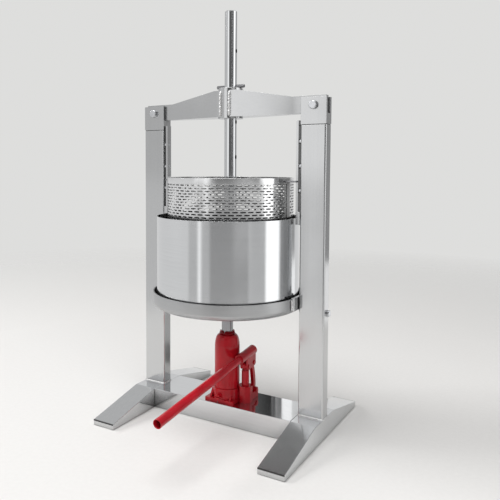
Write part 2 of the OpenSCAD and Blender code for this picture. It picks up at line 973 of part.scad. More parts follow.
// Release screw with a slotted head that the handle's end turns
module release_valve() {
  face = -flange_front - run_gap;
  color(jack_red) at_jack() difference() {
    union() {
      bar_along_y(valve_r, face - valve_head_h, valve_end, valve_x, valve_z);
      bar_along_y(valve_head_r, face - valve_head_h, face, valve_x, valve_z);
    }
    block(
      [valve_x - valve_head_r - over, face - valve_head_h - over, valve_z - valve_slot / 2],
      [valve_x + valve_head_r + over, face - valve_head_h / 2, valve_z + valve_slot / 2]
    );
  }
}

module pump_cylinder() {
  color(jack_red) at_jack() translate([pump_x, pump_y, 0])
    ring(pump_r, plunger_r + pivot_fit, pump_floor, pump_top);
}

// Plunger with a flat eye for its pin
module pump_plunger() {
  color(jack_red) at_jack() difference() {
    union() {
      bar_along_z(plunger_r, plunger_low, plunger_pin_z, pump_x, pump_y);
      bar_along_x(eye_r, pump_x - eye_w / 2, pump_x + eye_w / 2, pump_y, plunger_pin_z);
    }
    bar_along_x(lever_pin_r + fit, pump_x - eye_w, pump_x + eye_w, pump_y, plunger_pin_z);
  }
}

// Riveted pin along X, its heads just outside half_grip on each side
module rivet(y, z, half_grip) {
  reach = half_grip + run_gap;
  end = reach + pin_head_h;
  bar_along_x(lever_pin_r, pump_x - end, pump_x + end, y, z);
  bar_along_x(pin_head_r, pump_x + reach, pump_x + end, y, z);
  bar_along_x(pin_head_r, pump_x - end, pump_x - reach, y, z);
}

module plunger_pin() {
  color(zinc) at_jack() rivet(pump_y, plunger_pin_z, lug_out);
}

module link_lower_pin() {
  color(zinc) at_jack() rivet(link_low_y, link_low_z, foot_lug_w / 2);
}

module link_upper_pin() {
  color(zinc) at_jack() rivet(link_y, link_top_z, lug_out);
}

// Bowed link with an eye at each end, upright, its lower eye at the origin
module link_form() {
  rise = link_len / 2;
  bow_y = -sqrt(link_bow_r * link_bow_r - rise * rise);
  x0 = pump_x - link_half;
  x1 = pump_x + link_half;
  difference() {
    union() {
      intersection() {
        difference() {
          bar_along_x(link_bow_r + link_w / 2, x0, x1, bow_y, rise);
          bar_along_x(link_bow_r - link_w / 2, x0 - over, x1 + over, bow_y, rise);
        }
        block([x0, -link_w, 0], [x1, link_bow_r, link_len]);
      }
      for (z = [0, link_len]) bar_along_x(link_end_r, x0, x1, 0, z);
    }
    for (z = [0, link_len]) bar_along_x(lever_pin_r + pivot_fit, x0 - over, x1 + over, 0, z);
  }
}

// Link that the lever swings on, leaning forward from its lower pin
module fulcrum_link() {
  color(jack_red) at_jack() translate([0, link_low_y, link_low_z]) rotate([link_lean, 0, 0]) link_form();
}

// One of the lever's two side lugs, with the eyes for both pins
module lever_lug(x0, x1) {
  side_plate([
    [pump_y - lug_r, plunger_pin_z], [pump_y - lug_r, lever_z],
    [link_y + lug_r, lever_z], [link_y + lug_r, link_top_z],
    [link_y, link_top_z - lug_r], [pump_y, plunger_pin_z - lug_r]
  ], x0, x1);
  bar_along_x(lug_r, x0, x1, pump_y, plunger_pin_z);
  bar_along_x(lug_r, x0, x1, link_y, link_top_z);
}

// Socket tube for the handle, on its two lugs
module lever_socket() {
  half = socket_len / 2;
  color(handle_red) difference() {
    union() {
      at_lever() bar_along_y(socket_r, -half, half, 0, 0);
      at_jack() {
        lever_lug(pump_x + lug_in, pump_x + lug_out);
        lever_lug(pump_x - lug_out, pump_x - lug_in);
      }
    }
    at_lever() bar_along_y(handle_rod_r + run_gap, -half - over, half + over, 0, 0);
    at_jack() {
      bar_along_x(lever_pin_r + slack, pump_x - socket_d, pump_x + socket_d, pump_y, plunger_pin_z);
      bar_along_x(lever_pin_r + fit, pump_x - socket_d, pump_x + socket_d, link_y, link_top_z);
    }
  }
}

module handle_rod() {
  color(handle_red) at_lever()
    bar_along_y(handle_rod_r, -tube_in - handle_joint, handle_seat, 0, 0);
}

// Handle tube, pushed over the rod and open at the front
module handle_tube() {
  front = -tube_in - handle_tube_len;
  color(handle_red) at_lever() difference() {
    bar_along_y(handle_tube_r, front, -tube_in, 0, 0);
    bar_along_y(handle_rod_r + fit, front - over, -tube_in + over, 0, 0);
  }
}

base_channel();
base_stiffener();
left_foot();
right_foot();
foot_end_plates();
left_upright();
right_upright();
left_head_bracket();
right_head_bracket();
left_beam_arm();
right_beam_arm();
rod_sleeve();
beam_bolts();
beam_washers();
beam_nuts();
left_guide_bar();
right_guide_bar();
guide_bar_blocks();
guide_bar_spacers();
guide_bar_screws();
tray_stop_bolts();
press_rod();
press_plate();
plate_hub();
plate_screw();
locking_pin();
juice_tray();
tray_spout();
left_tray_guide();
right_tray_guide();
splash_drum();
basket_shell();
basket_rim();
basket_floor();
basket_ears();
basket_seam_strips();
jack_base();
jack_tank();
jack_top_nut();
jack_cylinder();
jack_ram();
ram_seal();
jack_saddle();
filler_plug();
release_valve();
pump_cylinder();
pump_plunger();
plunger_pin();
fulcrum_link();
link_lower_pin();
link_upper_pin();
lever_socket();
handle_rod();
handle_tube();
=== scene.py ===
# %% [markdown]
# # A hydraulic fruit press
# The press is a folded steel stand with two uprights and a crossbeam. A bottle jack lifts the tray and its slotted
# basket against a plate on a fixed rod. The solids come from the CAD frame, in metres and in their places, so this
# lesson gives them their finishes and adds the details that are easier to make as meshes.

# %% Load the frame
import math

import bpy
from mathutils import Euler, Matrix, Vector


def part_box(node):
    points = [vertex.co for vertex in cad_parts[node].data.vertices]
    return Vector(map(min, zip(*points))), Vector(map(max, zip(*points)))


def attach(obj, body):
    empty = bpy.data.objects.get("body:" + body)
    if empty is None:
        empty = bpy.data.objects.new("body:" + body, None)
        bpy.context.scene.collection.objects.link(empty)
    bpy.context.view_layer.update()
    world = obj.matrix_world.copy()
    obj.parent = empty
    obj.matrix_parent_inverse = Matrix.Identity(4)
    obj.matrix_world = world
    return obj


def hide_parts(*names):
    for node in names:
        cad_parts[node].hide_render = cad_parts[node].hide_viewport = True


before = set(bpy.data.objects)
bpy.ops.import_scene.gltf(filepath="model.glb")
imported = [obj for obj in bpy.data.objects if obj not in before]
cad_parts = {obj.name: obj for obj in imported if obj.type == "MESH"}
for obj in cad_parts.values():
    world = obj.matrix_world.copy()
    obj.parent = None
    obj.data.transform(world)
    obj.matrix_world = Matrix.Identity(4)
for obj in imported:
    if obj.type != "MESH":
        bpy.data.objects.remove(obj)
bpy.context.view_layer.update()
MM = 0.001

# %% [markdown]
# ## The camera
# The stand is seen from its right front corner, a little above the middle, with a fairly wide lens. The camera could
# be aimed by hand, but the corners of the stand give its place and turn exactly, so the numbers are written down.
# The lens shift moves the frame without tilting the uprights.

# %% Camera
IMAGE_WIDTH, FOCUS_PIXELS = 500, 596.3
SHIFT_ACROSS, SHIFT_UP = 0.0889, -0.0981
EYE_PLACE = (0.59107, -1.05111, 0.50855)
EYE_DOWN, EYE_ROUND, EYE_ROLL = 3.143, 31.731, 0.118
eye = bpy.data.cameras.new("eye")
eye.sensor_width = 36.0
eye.lens = eye.sensor_width * FOCUS_PIXELS / IMAGE_WIDTH
eye.shift_x, eye.shift_y = SHIFT_ACROSS, SHIFT_UP
eye_stand = bpy.data.objects.new("eye", eye)
eye_stand.location = EYE_PLACE
eye_turn = Euler((math.radians(90 - EYE_DOWN), 0, math.radians(EYE_ROUND))).to_matrix()
eye_stand.rotation_euler = (eye_turn @ Matrix.Rotation(math.radians(EYE_ROLL), 3, "Z")).to_euler()
scene = bpy.context.scene
scene.collection.objects.link(eye_stand)
scene.camera = eye_stand
scene.view_settings.view_transform = "Standard"
print("lens", round(eye.lens, 2), "mm")

# %% [markdown]
# ## Node helpers
# Most finishes here are the same few steps: a noise stretched along the way the metal was worked, a colour that
# swings a little with it, a roughness that swings too, and a shallow bump. Small functions for those steps keep each
# finish short. Noise in object coordinates needs no unwrapping, and it stays on a piece when the piece moves.

# %% Noise, ranges, colours and bumps
def new_finish(name):
    """An empty finish: the material, its nodes and its main shader."""
    material = bpy.data.materials.new(name)
    material.use_nodes = True
    tree = material.node_tree
    return material, tree, tree.nodes["Principled BSDF"]


def noise(tree, fineness, detail=3.0, rough=0.5):
    """Noise over a piece; fineness is how many blobs fit in a metre along X, Y and Z."""
    place = tree.nodes.new("ShaderNodeTexCoord")
    stretch = tree.nodes.new("ShaderNodeMapping")
    stretch.inputs["Scale"].default_value = fineness
    pattern = tree.nodes.new("ShaderNodeTexNoise")
    pattern.inputs["Scale"].default_value = 1.0
    pattern.inputs["Detail"].default_value = detail
    pattern.inputs["Roughness"].default_value = rough
    tree.links.new(place.outputs["Object"], stretch.inputs["Vector"])
    tree.links.new(stretch.outputs["Vector"], pattern.inputs["Vector"])
    return pattern.outputs["Fac"]


def spread(tree, value, low, high, start=0.3, end=0.7):
    """Runs from low to high while value runs from start to end."""
    node = tree.nodes.new("ShaderNodeMapRange")
    for socket, number in zip(("From Min", "From Max", "To Min", "To Max"), (start, end, low, high)):
        node.inputs[socket].default_value = number
    tree.links.new(value, node.inputs["Value"])
    return node.outputs["Result"]


def mixed(tree, share, first, second):
    """A colour between first and second; each is three numbers or another colour socket."""
    node = tree.nodes.new("ShaderNodeMix")
    node.data_type = "RGBA"
    tree.links.new(share, node.inputs[0])
    for socket, colour in ((node.inputs[6], first), (node.inputs[7], second)):
        if isinstance(colour, tuple):
            socket.default_value = (*colour, 1.0)
        else:
            tree.links.new(colour, socket)
    return node.outputs[2]


def bumped(tree, height, depth):
    """A normal that follows height, depth metres deep."""
    node = tree.nodes.new("ShaderNodeBump")
    node.inputs["Strength"].default_value = 1.0
    node.inputs["Distance"].default_value = depth
    tree.links.new(height, node.inputs["Height"])
    return node.outputs["Normal"]


print("helpers: noise, spread, mixed, bumped")

# %% [markdown]
# ## Stainless steel in several finishes
# The stand, the drum and the basket are all stainless sheet, but each was worked another way: the tubes have a grain
# along their length, the drum was polished on a spinning wheel, and the feet are nearly mirrors. One function makes
# them all. The grain's direction is the fineness of the noise along X, Y and Z: coarse along the lines, fine across.
# Shade is painted into the colour: the steel is darker in the corners, gaps and hollows that the ambient occlusion node
# finds.

# %% Steel
# the grey that the painted corner shade darkens the steel towards
CORNER_SHADE = (0.17, 0.168, 0.165)
SHUT_IN, OPEN = 0.14, 0.72


def painted_corner_shade(tree, colour, reach):
    """Paints shade into a colour: darkens it in the corners, gaps and hollows that ambient occlusion finds, reach
    metres deep.
    """
    corner = tree.nodes.new("ShaderNodeAmbientOcclusion")
    corner.samples = 6
    corner.inputs["Distance"].default_value = reach
    shaded_share = spread(tree, corner.outputs["AO"], 1, 0, start=SHUT_IN, end=OPEN)
    return mixed(tree, shaded_share, colour, CORNER_SHADE)


def steel(name, tone, shine, grain, streak, depth, smudge=9.0, shade_reach=0.0):
    """Steel of a tone, with shine as its range of roughness and lines that differ by the share streak."""
    material, tree, shader = new_finish(name)
    shader.inputs["Metallic"].default_value = 1.0
    lines = noise(tree, grain, detail=4.0, rough=0.6)
    clouds = noise(tree, (smudge,) * 3, detail=4.0)
    dark = tuple(c * (1 - streak) for c in tone)
    light = tuple(min(1.0, c * (1 + streak)) for c in tone)
    colour = mixed(tree, spread(tree, lines, 0, 1), dark, light)
    # painted shade in the corners and gaps
    if shade_reach:
        colour = painted_corner_shade(tree, colour, shade_reach)
    tree.links.new(colour, shader.inputs["Base Color"])
    tree.links.new(spread(tree, clouds, *shine), shader.inputs["Roughness"])
    tree.links.new(bumped(tree, lines, depth), shader.inputs["Normal"])
    return material


def brush_round(material, amount):
    """Turns the gloss round the upright axis, as rings left by a polishing wheel do."""
    tree = material.node_tree
    shader = tree.nodes["Principled BSDF"]
    around = tree.nodes.new("ShaderNodeTangent")
    around.direction_type, around.axis = "RADIAL", "Z"
    shader.inputs["Anisotropic"].default_value = amount
    shader.inputs["Anisotropic Rotation"].default_value = 0.25
    tree.links.new(around.outputs["Tangent"], shader.inputs["Tangent"])


# %% The steels of this press
SATIN, BRIGHT = (0.60, 0.605, 0.61), (0.74, 0.75, 0.76)
PALE_SHEET, TRAY_SHADE_SHEET = (0.84, 0.845, 0.85), (0.45, 0.455, 0.46)
PLATED, RAM_SHADE_GREY, PIN_AND_EAR_SHADE_GREY, SHADED = (0.68, 0.69, 0.71), (0.29, 0.29, 0.30), (0.27, 0.27, 0.28), (0.13, 0.13, 0.135)
HAIR = 1e-6
# the last number of a steel is how deep its painted corner shade reaches; the basket's is deep, to darken its inside
upright_steel = steel("upright steel", SATIN, (0.15, 0.21), (900, 900, 7), 0.025, HAIR, shade_reach=0.012)
beam_steel = steel("beam steel", SATIN, (0.15, 0.21), (9, 800, 900), 0.03, HAIR, shade_reach=0.012)
foot_steel = steel("foot steel", BRIGHT, (0.08, 0.14), (500, 6, 500), 0.03, HAIR, shade_reach=0.06)
base_steel = steel("base steel", BRIGHT, (0.06, 0.10), (6, 500, 500), 0.03, HAIR, shade_reach=0.06)
drum_steel = steel("drum steel", BRIGHT, (0.12, 0.17), (8, 8, 1300), 0.04, HAIR)
brush_round(drum_steel, 0.8)
# the tray's steel is darker than the stand's: painted shade under the tray and round the basket
tray_steel = steel("tray steel", TRAY_SHADE_SHEET, (0.34, 0.44), (8, 8, 900), 0.04, 3 * HAIR, shade_reach=0.03)
basket_steel = steel("basket steel", PALE_SHEET, (0.14, 0.20), (300, 300, 300), 0.04, HAIR, shade_reach=0.28)
bar_steel = steel("round bar steel", BRIGHT, (0.05, 0.09), (500, 500, 60), 0.03, 0.5 * HAIR)
# the ram is a darker copy of the round bar steel: painted shade under the tray
ram_shade_steel = steel("ram steel", RAM_SHADE_GREY, (0.10, 0.18), (500, 500, 60), 0.05, HAIR)
plated_steel = steel("plated bolts", PLATED, (0.18, 0.30), (400, 400, 400), 0.06, 4 * HAIR, smudge=60.0)
# darker than the steel these parts are: painted dark reflection on the locking pin, painted shade on the basket's ears
pin_and_ear_shade_steel = steel("pin steel", PIN_AND_EAR_SHADE_GREY, (0.12, 0.22), (60, 500, 500), 0.10, 4 * HAIR, smudge=60.0)
joint_shade_steel = steel("shaded joint steel", SHADED, (0.35, 0.5), (300, 300, 300), 0.15, 10 * HAIR, smudge=40.0)
print("steels:", sorted(m.name for m in bpy.data.materials))

# %% [markdown]
# ## Welds, paint and rubber
# A weld is rougher and less even than the sheet beside it, so two noises of different size mix three greys. The jack
# is sprayed with a thick gloss paint: a coat over a red base, with the slight orange-peel ripple that spraying leaves.
# Where the paint has been knocked, at its corners, the iron shows. The mesh's own corners tell where those are,
# through the geometry's pointiness.

# %% Weld
WELD_PALE, WELD_GREY, WELD_DULL = (0.86, 0.86, 0.86), (0.66, 0.66, 0.67), (0.58, 0.57, 0.56)


def weld_finish(name):
    """Rough bright metal, with dull patches left by the heat."""
    material, tree, shader = new_finish(name)
    shader.inputs["Metallic"].default_value = 0.92
    grains = noise(tree, (700,) * 3, detail=4.0, rough=0.6)
    heat = noise(tree, (60,) * 3, detail=2.0)
    patches = mixed(tree, spread(tree, heat, 0, 1, start=0.35), WELD_GREY, WELD_DULL)
    tree.links.new(mixed(tree, spread(tree, grains, 0, 0.6), patches, WELD_PALE), shader.inputs["Base Color"])
    tree.links.new(spread(tree, grains, 0.20, 0.40), shader.inputs["Roughness"])
    tree.links.new(bumped(tree, grains, 9e-5), shader.inputs["Normal"])
    return material


# %% Paint and rubber
BARE_IRON = (0.12, 0.10, 0.095)
RUBBER_BLACK, RUBBER_DUSTY = (0.012, 0.012, 0.013), (0.035, 0.034, 0.033)
SHADE_DARK, SHADE_LIGHT = 0.82, 1.12
CHIP_START, CHIP_FULL = 0.62, 0.68
CORNER_START, CORNER_FULL = 0.53, 0.62


def gloss_paint(name, colour):
    """Sprayed paint under a clear gloss, chipped where a corner and a knock meet."""
    material, tree, shader = new_finish(name)
    shade = noise(tree, (30,) * 3)
    peel = noise(tree, (420,) * 3, detail=1.0)
    knocks = noise(tree, (160,) * 3, detail=4.0, rough=0.7)
    dark = tuple(c * SHADE_DARK for c in colour)
    light = tuple(c * SHADE_LIGHT for c in colour)
    paint = mixed(tree, spread(tree, shade, 0, 1), dark, light)
    shape = tree.nodes.new("ShaderNodeNewGeometry")
    corner = spread(tree, shape.outputs["Pointiness"], 0, 1, start=CORNER_START, end=CORNER_FULL)
    both = tree.nodes.new("ShaderNodeMath")
    both.operation = "MULTIPLY"
    tree.links.new(corner, both.inputs[0])
    tree.links.new(spread(tree, knocks, 0, 1, start=CHIP_START, end=CHIP_FULL), both.inputs[1])
    tree.links.new(mixed(tree, both.outputs["Value"], paint, BARE_IRON), shader.inputs["Base Color"])
    tree.links.new(spread(tree, shade, 0.36, 0.46), shader.inputs["Roughness"])
    tree.links.new(bumped(tree, peel, 4e-6), shader.inputs["Normal"])
    shader.inputs["Specular IOR Level"].default_value = 0.05
    shader.inputs["Coat Weight"].default_value = 1.0
    shader.inputs["Coat IOR"].default_value = 1.34
    shader.inputs["Coat Roughness"].default_value = 0.045
    return material


def rubber_finish(name):
    """Dull black rubber with dust in its pores."""
    material, tree, shader = new_finish(name)
    dust = noise(tree, (140,) * 3)
    tree.links.new(mixed(tree, spread(tree, dust, 0, 1), RUBBER_BLACK, RUBBER_DUSTY), shader.inputs["Base Color"])
    tree.links.new(spread(tree, dust, 0.45, 0.7), shader.inputs["Roughness"])
    tree.links.new(bumped(tree, dust, 3e-5), shader.inputs["Normal"])
    return material


weld_steel = weld_finish("weld bead")
jack_red = gloss_paint("jack paint", (0.40, 0.006, 0.013))
handle_red = gloss_paint("handle paint", (0.46, 0.008, 0.018))
seal_rubber = rubber_finish("seal rubber")
print("finishes:", len(bpy.data.materials))

# %% [markdown]
# ## Dressing the CAD solids
# Real sheet has no razor edges: a fold has a radius and a cut edge is broken with a file. The CAD meshes are sharp and
# their corners are split, so each gets four modifiers: a weld to join the split corners, a dissolve that turns the
# triangles of a flat into one face, a bevel to round the edges by less than the sheet's thickness, and weighted normals
# to keep the flats flat. The solids themselves stay as they are. The jack's top nut keeps its sharp notches, so its
# radius is nought and it has no bevel.

# %% Finishes, edge radii in millimetres and, for shallow folds, the least angle that is rounded
stand_wear = {
    "base_channel": (base_steel, 0.9, 8), "base_stiffener": (base_steel, 0.7, 8),
    "left_foot": (foot_steel, 0.9, 8), "right_foot": (foot_steel, 0.9, 8), "foot_end_plates": (foot_steel, 0.4),
    "left_upright": (upright_steel, 0.9), "right_upright": (upright_steel, 0.9),
    "left_head_bracket": (upright_steel, 0.8), "right_head_bracket": (upright_steel, 0.8),
    "left_beam_arm": (beam_steel, 1.0, 14), "right_beam_arm": (beam_steel, 1.0, 14), "rod_sleeve": (beam_steel, 0.8),
    "left_guide_bar": (upright_steel, 0.8), "right_guide_bar": (upright_steel, 0.8),
    "guide_bar_blocks": (upright_steel, 0.7), "guide_bar_spacers": (plated_steel, 0.2),
}
fastener_wear = {
    "beam_bolts": (plated_steel, 0.4), "beam_washers": (plated_steel, 0.2), "beam_nuts": (plated_steel, 0.4),
    "guide_bar_screws": (plated_steel, 0.3), "tray_stop_bolts": (plated_steel, 0.5),
    "locking_pin": (pin_and_ear_shade_steel, 0.5), "plate_screw": (plated_steel, 0.3),
}
press_wear = {
    "press_rod": (bar_steel, 0.8), "press_plate": (tray_steel, 1.0), "plate_hub": (bar_steel, 0.8),
    "juice_tray": (tray_steel, 0.5), "tray_spout": (tray_steel, 0.4), "left_tray_guide": (upright_steel, 0.8),
    "right_tray_guide": (upright_steel, 0.8), "splash_drum": (drum_steel, 0.35), "basket_rim": (basket_steel, 0.5),
    # the basket's ears take the dark pin steel: painted shade under them
    "basket_floor": (basket_steel, 0.3), "basket_ears": (pin_and_ear_shade_steel, 0.7), "basket_seam_strips": (basket_steel, 0.2),
    "basket_shell": (basket_steel, 0.2),
}
jack_wear = {
    "jack_base": (jack_red, 1.4), "jack_tank": (jack_red, 0.6), "jack_top_nut": (jack_red, 0),
    "jack_cylinder": (bar_steel, 0.3), "jack_ram": (ram_shade_steel, 0.6), "ram_seal": (seal_rubber, 0.3),
    "jack_saddle": (bar_steel, 0.6), "filler_plug": (seal_rubber, 0.5), "release_valve": (jack_red, 0.5),
    "pump_cylinder": (jack_red, 0.6), "pump_plunger": (jack_red, 0.5), "plunger_pin": (jack_red, 0.5),
    "fulcrum_link": (jack_red, 0.8), "link_lower_pin": (jack_red, 0.5), "link_upper_pin": (jack_red, 0.5),
    "lever_socket": (jack_red, 0.6), "handle_rod": (handle_red, 0.5), "handle_tube": (handle_red, 0.5),
}
print("dressed:", len(stand_wear) + len(fastener_wear) + len(press_wear) + len(jack_wear), "of", len(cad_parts))

# %% Round the edges
SPLIT_GAP, FLAT_ANGLE = 1e-6, 0.3


def round_edges(solid, radius_mm, angle=35):
    """Rounds the edges that turn by more than angle degrees; a radius of nought leaves them sharp."""
    join = solid.modifiers.new("join", "WELD")
    join.merge_threshold = SPLIT_GAP
    whole = solid.modifiers.new("whole faces", "DECIMATE")
    whole.decimate_type = "DISSOLVE"
    whole.angle_limit = math.radians(FLAT_ANGLE)
    if radius_mm:
        edges = solid.modifiers.new("edges", "BEVEL")
        edges.width = radius_mm * MM
        edges.segments = 3
        edges.limit_method = "ANGLE"
        edges.angle_limit = math.radians(angle)
        edges.miter_outer = "MITER_ARC"
    flats = solid.modifiers.new("flats", "WEIGHTED_NORMAL")
    flats.keep_sharp = False


for wear in (stand_wear, fastener_wear, press_wear, jack_wear):
    for node, (finish, *edge) in wear.items():
        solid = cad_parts[node]
        solid.data.materials.clear()
        solid.data.materials.append(finish)
        round_edges(solid, *edge)
print("edges rounded on", sum("edges" in o.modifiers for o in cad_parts.values()), "solids")

# %% [markdown]
# ## The slotted basket
# The basket is a stainless sheet punched with hundreds of short slots in staggered rows, rolled into a ring and seamed
# at both sides. A transparent pattern would look flat where the sheet is seen on edge, so the holes are real: every
# slot is one cell of a grid, a ring of faces between the cell's border and the slot's outline. Half a cell of offset
# in every second row gives the stagger, and a solidify modifier gives the sheet its thickness.

# %% Pieces from vertices and faces
def piece(name, points, faces, finish, body, slot):
    """A smooth mesh with one finish, which rides on a body of the press."""
    mesh = bpy.data.meshes.new(name)
    mesh.from_pydata(points, [], faces)
    mesh.shade_smooth()
    mesh.materials.append(finish)
    made = bpy.data.objects.new(name, mesh)
    scene.collection.objects.link(made)
    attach(made, body)
    return made


# %% One slot and the border of its cell
BASKET_LOW, BASKET_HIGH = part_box("basket_shell")
BASKET_RADIUS = (BASKET_HIGH[0] - BASKET_LOW[0]) / 2
SLOT_COUNT, ROW_COUNT = 54, 45
SLOT_LENGTH, SLOT_HEIGHT, SHEET_THICK = 11.2 * MM, 2.7 * MM, 1.5 * MM
SEAM_HALF = math.radians(5.2)
cell_angle = 2 * math.pi / SLOT_COUNT
cell_high = (BASKET_HIGH[2] - BASKET_LOW[2]) / ROW_COUNT
# the border in shares of a cell, along the sheet and up it; the slot has as many points
cell_border = [(-.5, 0), (-.25, 0), (0, 0), (.25, 0), (.5, 0), (.5, .5),
               (.5, 1), (.25, 1), (0, 1), (-.25, 1), (-.5, 1), (-.5, .5)]


def slot_outline():
    """Points of one slot round its middle, in metres along the sheet and up it."""
    half, r = SLOT_LENGTH / 2 - SLOT_HEIGHT / 2, SLOT_HEIGHT / 2
    bend = r * 0.7
    return [(-half - bend, -bend), (-half, -r), (0, -r), (half, -r), (half + bend, -bend), (half + r, 0),
            (half + bend, bend), (half, r), (0, r), (-half, r), (-half - bend, bend), (-half - r, 0)]


print("slot points:", len(slot_outline()), "cell mm:", round(cell_angle * BASKET_RADIUS * 1000, 1),
      "by", round(cell_high * 1000, 1))

# %% The punched sheet
TURN_PARTS, RISE_PARTS = 400, 1000


def punched_sheet():
    """The sheet's points and faces, and how many slots it has; its lowest row and its seams stay plain."""
    points, faces, found = [], [], {}
    slot, count, slots = slot_outline(), len(cell_border), 0

    def point(turn, height):
        part = round((turn / cell_angle * TURN_PARTS) % (SLOT_COUNT * TURN_PARTS))
        key = (part, round(height / cell_high * RISE_PARTS))
        if key not in found:
            found[key] = len(points)
            points.append((BASKET_RADIUS * math.cos(turn), BASKET_RADIUS * math.sin(turn), BASKET_LOW[2] + height))
        return found[key]

    for row in range(ROW_COUNT):
        for cell in range(SLOT_COUNT):
            middle = (cell + 0.5 * (row % 2)) * cell_angle
            rim = [point(middle + a * cell_angle, (row + b) * cell_high) for a, b in cell_border]
            from_seam = min(abs((middle - seam + math.pi) % (2 * math.pi) - math.pi) for seam in (0, math.pi))
            if from_seam < SEAM_HALF or row == 0:
                faces.append(rim)
                continue
            hole = [point(middle + a / BASKET_RADIUS, (row + 0.5) * cell_high + b) for a, b in slot]
            faces += [(rim[k], rim[(k + 1) % count], hole[(k + 1) % count], hole[k]) for k in range(count)]
            slots += 1
    return points, faces, slots


sheet_points, sheet_faces, sheet_slots = punched_sheet()
basket_sheet = piece("basket_sheet", sheet_points, sheet_faces, basket_steel, "tray", "stainless_satin")
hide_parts("basket_shell")
thick = basket_sheet.modifiers.new("thick", "SOLIDIFY")
thick.thickness = SHEET_THICK
thick.offset = -1.0
thick.use_even_offset = False
crisp = basket_sheet.modifiers.new("crisp", "EDGE_SPLIT")
crisp.split_angle = math.radians(50)
print("slots:", sheet_slots, "faces:", len(sheet_faces), "radius mm:", round(BASKET_RADIUS * 1000, 1))

# %% [markdown]
# ## The uprights
# The uprights are rectangular steel tube, and drawn tube has rounded corners as wide as twice its wall. A bevel on the
# CAD solid would round the inside by the same amount and eat the wall, so the tube is made again from a rounded
# outline, drawn up from the foot to the head. The tube stops a hair under the head bracket, and a dark band in that
# gap paints the joint's shade as a dark line.

# %% A rounded tube
LEAST_CORNER = 0.4 * MM


def rounded_outline(half_x, half_y, radius, steps=6):
    """Corners of a rectangle, each as an arc of that radius, once round."""
    points = []
    for sx, sy, start in ((1, 1, 0), (-1, 1, 90), (-1, -1, 180), (1, -1, 270)):
        x, y = sx * (half_x - radius), sy * (half_y - radius)
        for k in range(steps + 1):
            turn = math.radians(start + 90 * k / steps)
            points.append((x + radius * math.cos(turn), y + radius * math.sin(turn)))
    return points


def tube(name, middle, half, heights, corner, wall, finish, slot):
    """An upright tube: up the outside, over the top, down the inside and back under."""
    outer = rounded_outline(half[0], half[1], corner)
    inner = rounded_outline(half[0] - wall, half[1] - wall, max(LEAST_CORNER, corner - wall))
    count = len(outer)
    points = []
    for ring, z in ((outer, heights[0]), (outer, heights[1]), (inner, heights[1]), (inner, heights[0])):
        points += [(middle[0] + x, middle[1] + y, z) for x, y in ring]
    faces = []
    for ring in range(4):
        a, b = ring * count, (ring + 1) % 4 * count
        faces += [(a + k, a + (k + 1) % count, b + (k + 1) % count, b + k) for k in range(count)]
    made = piece(name, points, faces, finish, "frame", slot)
    round_edges(made, 0.4, angle=60)
    return made


# %% The two uprights and their joint lines
TUBE_CORNER, TUBE_WALL, JOINT_GAP = 3.2 * MM, 2.0 * MM, 1.1 * MM
BAND_INSET, BAND_LOW, BAND_TOP, BAND_CORNER, BAND_WALL = 0.8 * MM, 4 * MM, 0.1 * MM, 2.4 * MM, 1.0 * MM
for side in ("left", "right"):
    low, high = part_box(f"{side}_upright")
    middle = ((low[0] + high[0]) / 2, (low[1] + high[1]) / 2)
    half = ((high[0] - low[0]) / 2, (high[1] - low[1]) / 2)
    heights = (low[2], high[2] - JOINT_GAP)
    post = tube(f"{side}_post", middle, half, heights, TUBE_CORNER, TUBE_WALL, upright_steel, "stainless_satin")
    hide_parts(f"{side}_upright")
    inset = (half[0] - BAND_INSET, half[1] - BAND_INSET)
    heights = (high[2] - BAND_LOW, high[2] - BAND_TOP)
    # a dark band inside the joint's gap: painted shade
    tube(f"{side}_joint_band", middle, inset, heights, BAND_CORNER, BAND_WALL, joint_shade_steel, "stainless_satin")
print("posts", round((high[2] - low[2]) * 1000), "mm tall")

# %% [markdown]
# ## The feet's end plates
# A flat plate closes each end of a foot. Above it, a strip in the black rubber finish fills the gap under the folded
# sheet: painted shade, so that the gap reads as a black line. Such a line could be only a dark mark in the steel's
# finish, but it is looked at on edge, so each plate and each strip is a block of its own, over the whole width of the
# foot and a hair proud of it.

# %% Four end plates
def brick(low, high):
    """Corners and faces of a block between two corners."""
    points = [(x, y, z) for z in (low[2], high[2]) for x, y in
              ((low[0], low[1]), (high[0], low[1]), (high[0], high[1]), (low[0], high[1]))]
    return points, [(3, 2, 1, 0), (4, 5, 6, 7), (0, 1, 5, 4), (1, 2, 6, 5), (2, 3, 7, 6), (3, 0, 4, 7)]


FOOT_LOW, FOOT_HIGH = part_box("right_foot")
PLATE_LOW, PLATE_TOP, PLATE_THICK, PLATE_PROUD = 0.2 * MM, 8.7 * MM, 3.0 * MM, 0.3 * MM
GAP_SHADE_LOW, GAP_SHADE_TOP, GAP_SHADE_THICK, GAP_SHADE_PROUD = 8.6 * MM, 11.15 * MM, 2.4 * MM, 0.4 * MM
PLATE_MARGIN = 0.3 * MM


def across_a_foot(sign, end, thick, proud, low, high):
    """A block over the whole width of a foot's end; end is -1 in front and 1 at the back."""
    x = sorted((sign * (FOOT_LOW[0] + PLATE_MARGIN), sign * (FOOT_HIGH[0] - PLATE_MARGIN)))
    outer = end * (FOOT_HIGH[1] + proud)
    y = sorted((outer, outer - end * thick))
    return brick((x[0], y[0], low), (x[1], y[1], high))


